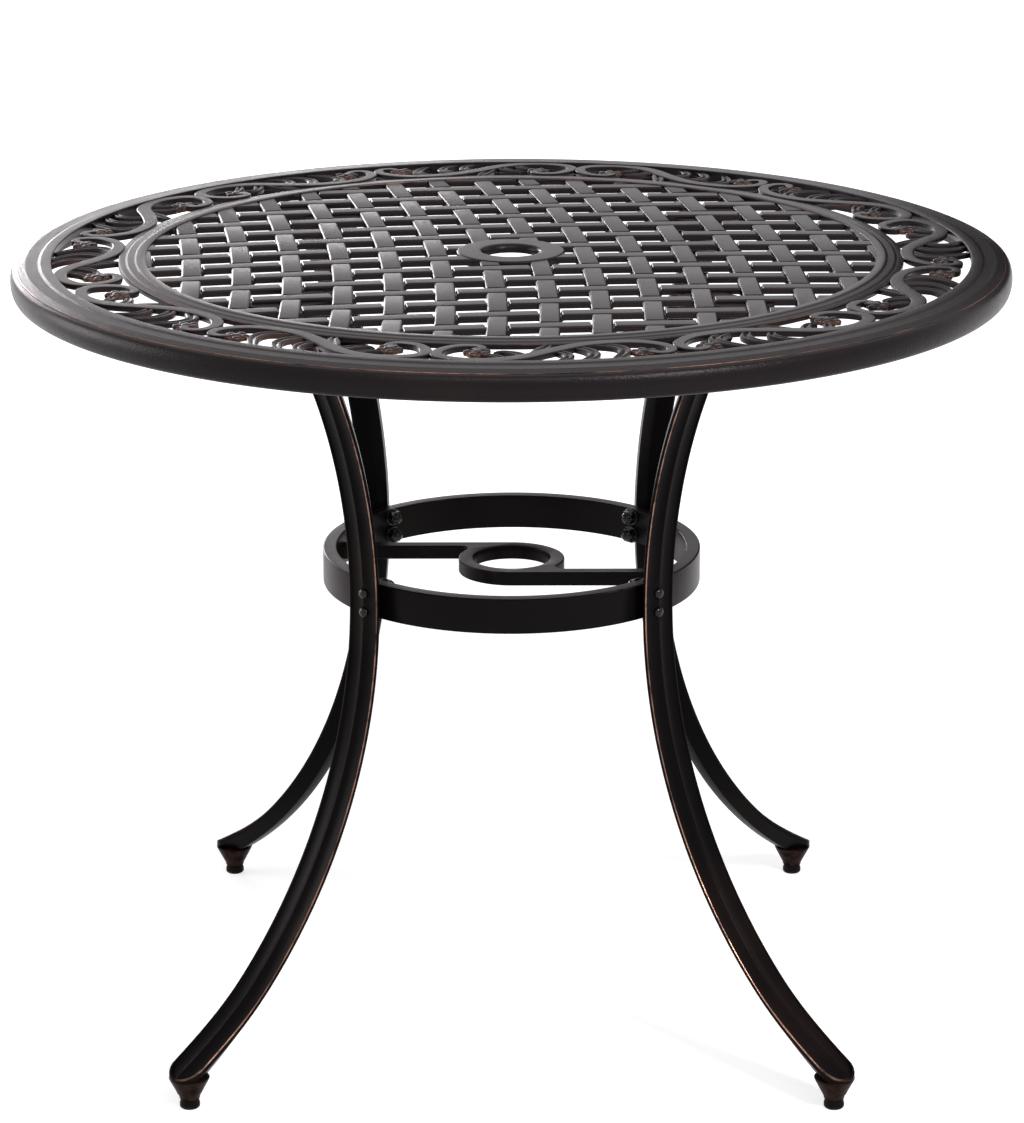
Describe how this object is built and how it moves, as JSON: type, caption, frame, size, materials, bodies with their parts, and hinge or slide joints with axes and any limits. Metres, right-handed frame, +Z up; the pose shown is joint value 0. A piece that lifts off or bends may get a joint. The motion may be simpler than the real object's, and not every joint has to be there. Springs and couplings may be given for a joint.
{
  "type": "umbrella table",
  "caption": "Round cast patio table with a woven lattice top, a scroll border, an umbrella hole, curved legs and a hoop stretcher.",
  "frame": {"origin": "on the floor under the middle of the top, the bottom centre of the bounding box", "axes": "+Z up, +Y away from the camera of the picture, +X to its right"},
  "size_m": [0.902, 0.902, 0.711],
  "materials": {
    "bronze_casting": "cast aluminium with a dark antique bronze powder coat, satin and finely pebbled, copper-coloured where the edges are rubbed",
    "black_fastener": "blackened steel, semi-gloss",
    "zinc_stud": "zinc-plated steel",
    "black_nylon": "black moulded nylon"
  },
  "bodies": {
    "table": {"table_top": "bronze_casting", "stretcher_ring": "bronze_casting", "leg_rear_right": "bronze_casting", "ring_bolt_rear_right_lower": "black_fastener", "ring_washer_rear_right_lower": "black_fastener", "ring_cap_nut_rear_right_lower": "black_fastener", "ring_bolt_rear_right_upper": "black_fastener", "ring_washer_rear_right_upper": "black_fastener", "ring_cap_nut_rear_right_upper": "black_fastener", "top_bolt_rear_right_inner": "black_fastener", "top_bolt_rear_right_outer": "black_fastener", "leg_rear_left": "bronze_casting", "ring_bolt_rear_left_lower": "black_fastener", "ring_washer_rear_left_lower": "black_fastener", "ring_cap_nut_rear_left_lower": "black_fastener", "ring_bolt_rear_left_upper": "black_fastener", "ring_washer_rear_left_upper": "black_fastener", "ring_cap_nut_rear_left_upper": "black_fastener", "top_bolt_rear_left_inner": "black_fastener", "top_bolt_rear_left_outer": "black_fastener", "leg_front_left": "bronze_casting", "ring_bolt_front_left_lower": "black_fastener", "ring_washer_front_left_lower": "black_fastener", "ring_cap_nut_front_left_lower": "black_fastener", "ring_bolt_front_left_upper": "black_fastener", "ring_washer_front_left_upper": "black_fastener", "ring_cap_nut_front_left_upper": "black_fastener", "top_bolt_front_left_inner": "black_fastener", "top_bolt_front_left_outer": "black_fastener", "leg_front_right": "bronze_casting", "ring_bolt_front_right_lower": "black_fastener", "ring_washer_front_right_lower": "black_fastener", "ring_cap_nut_front_right_lower": "black_fastener", "ring_bolt_front_right_upper": "black_fastener", "ring_washer_front_right_upper": "black_fastener", "ring_cap_nut_front_right_upper": "black_fastener", "top_bolt_front_right_inner": "black_fastener", "top_bolt_front_right_outer": "black_fastener"},
    "glide_rear_right": {"glide_pad_rear_right": "black_nylon", "glide_stud_rear_right": "zinc_stud"},
    "glide_rear_left": {"glide_pad_rear_left": "black_nylon", "glide_stud_rear_left": "zinc_stud"},
    "glide_front_left": {"glide_pad_front_left": "black_nylon", "glide_stud_front_left": "zinc_stud"},
    "glide_front_right": {"glide_pad_front_right": "black_nylon", "glide_stud_front_right": "zinc_stud"}
  },
  "joints": [
    {"name": "glide_rear_right_screw", "type": "slide", "parent": "table", "child": "glide_rear_right", "axis": [0, 0, -1], "range_m": [0, 0.008]},
    {"name": "glide_rear_left_screw", "type": "slide", "parent": "table", "child": "glide_rear_left", "axis": [0, 0, -1], "range_m": [0, 0.008]},
    {"name": "glide_front_left_screw", "type": "slide", "parent": "table", "child": "glide_front_left", "axis": [0, 0, -1], "range_m": [0, 0.008]},
    {"name": "glide_front_right_screw", "type": "slide", "parent": "table", "child": "glide_front_right", "axis": [0, 0, -1], "range_m": [0, 0.008]}
  ]
}
